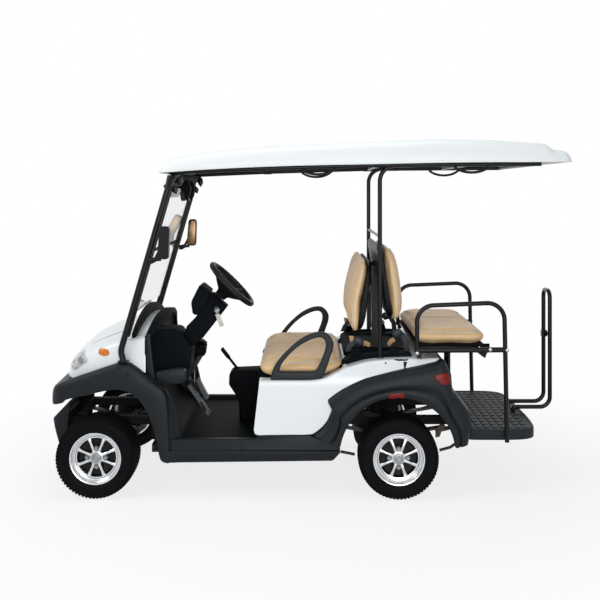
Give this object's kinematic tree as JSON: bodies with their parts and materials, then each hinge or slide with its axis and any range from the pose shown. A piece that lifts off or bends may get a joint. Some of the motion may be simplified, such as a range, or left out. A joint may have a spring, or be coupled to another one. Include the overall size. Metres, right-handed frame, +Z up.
{
  "type": "golf cart",
  "caption": "Golf cart with a fixed canopy, a forward front bench and a rear-facing flip seat with a foot board and grab bar.",
  "frame": {"origin": "on the ground, at the middle of the overall length and width", "axes": "+X forward, +Y to the driver's left, +Z up"},
  "size_m": [2.9568, 1.2, 2.0078],
  "materials": {
    "black_frame": "satin powder coat",
    "chassis_paint": "matt chassis paint",
    "white_body": "gloss moulded body",
    "black_body": "grained black plastic",
    "roof_white": "moulded canopy",
    "seat_vinyl": "tan vinyl",
    "seat_shell": "black moulded shell",
    "tyre": "rubber",
    "alloy": "polished alloy",
    "steel": "steel",
    "floor_mat": "ribbed floor mat",
    "screen": "clear acrylic",
    "clear_lens": "clear lens",
    "red_lens": "red lens",
    "battery": "plain block"
  },
  "bodies": {
    "cart": {"chassis_frame": "chassis_paint", "front_axle_beam": "chassis_paint", "rear_drive_axle": "chassis_paint", "leaf_springs": "chassis_paint", "steering_rack": "chassis_paint", "front_fascia": "black_body", "front_cowl": "white_body", "chin_guard": "black_body", "dashboard": "black_body", "steering_column": "black_body", "pedals": "black_frame", "floor_pan": "floor_mat", "sills": "black_body", "brake_console": "black_body", "rear_body": "white_body", "rear_flares": "black_body", "rear_valance": "black_body", "rear_deck": "black_body", "battery_pack": "battery", "hip_restraints": "black_body", "seat_back_frame": "black_frame", "rear_seat_frame": "black_frame", "foot_board": "black_body", "grab_bar": "black_frame", "roof": "roof_white", "roof_frame": "black_frame", "roof_handles": "black_frame", "windscreen_posts": "black_frame", "windscreen": "screen", "windscreen_frame": "black_body", "rear_struts": "black_frame", "headlamps": "clear_lens", "tail_lamps": "red_lens", "mirrors": "black_body", "front_seat_back": "seat_vinyl", "rear_seat_back": "seat_vinyl", "seat_back_shells": "seat_shell"},
    "left_knuckle": {"left_knuckle": "steel"},
    "right_knuckle": {"right_knuckle": "steel"},
    "tie_rods": {"tie_rods": "steel"},
    "steering_wheel": {"steering_wheel": "black_body"},
    "front_seat": {"front_seat_cushion": "seat_vinyl", "front_seat_pan": "seat_shell"},
    "rear_seat": {"rear_seat_cushion": "seat_vinyl", "rear_seat_pan": "seat_shell"},
    "front_left_wheel": {"front_left_tyre": "tyre", "front_left_wheel": "alloy"},
    "front_right_wheel": {"front_right_tyre": "tyre", "front_right_wheel": "alloy"},
    "rear_left_wheel": {"rear_left_tyre": "tyre", "rear_left_wheel": "alloy"},
    "rear_right_wheel": {"rear_right_tyre": "tyre", "rear_right_wheel": "alloy"}
  },
  "joints": [
    {"name": "steering", "type": "hinge", "parent": "cart", "child": "steering_wheel", "pos_m": [0.443, 0.28, 1.155], "axis": [-0.7071, 0, 0.7071], "range_deg": [-480, 480]},
    {"name": "left_steer", "type": "hinge", "parent": "cart", "child": "left_knuckle", "pos_m": [1.171, 0.372, 0.223], "axis": [0, 0, 1], "range_deg": [-32, 32]},
    {"name": "right_steer", "type": "hinge", "parent": "cart", "child": "right_knuckle", "pos_m": [1.171, -0.372, 0.223], "axis": [0, 0, 1], "range_deg": [-32, 32]},
    {"name": "rack_travel", "type": "slide", "parent": "cart", "child": "tie_rods", "axis": [0, -1, 0], "range_m": [-0.059, 0.059]},
    {"name": "front_seat_lift", "type": "hinge", "parent": "cart", "child": "front_seat", "pos_m": [0.285, 0, 0.656], "axis": [0, 1, 0], "range_deg": [0, 60]},
    {"name": "rear_seat_flip", "type": "hinge", "parent": "cart", "child": "rear_seat", "pos_m": [-1.004, 0, 0.812], "axis": [0, -1, 0], "range_deg": [0, 180]},
    {"name": "front_left_spin", "type": "hinge", "parent": "left_knuckle", "child": "front_left_wheel", "pos_m": [1.171, 0.47, 0.223], "axis": [0, 1, 0], "continuous": true},
    {"name": "front_right_spin", "type": "hinge", "parent": "right_knuckle", "child": "front_right_wheel", "pos_m": [1.171, -0.47, 0.223], "axis": [0, 1, 0], "continuous": true},
    {"name": "rear_left_spin", "type": "hinge", "parent": "cart", "child": "rear_left_wheel", "pos_m": [-0.499, 0.4825, 0.223], "axis": [0, 1, 0], "continuous": true},
    {"name": "rear_right_spin", "type": "hinge", "parent": "cart", "child": "rear_right_wheel", "pos_m": [-0.499, -0.4825, 0.223], "axis": [0, 1, 0], "continuous": true}
  ],
  "couplings": [
    {"joint": "left_steer", "follows": "steering", "ratio": 0.066667},
    {"joint": "right_steer", "follows": "steering", "ratio": 0.066667},
    {"joint": "rack_travel", "follows": "steering", "m_per_rad": 0.0070426}
  ]
}
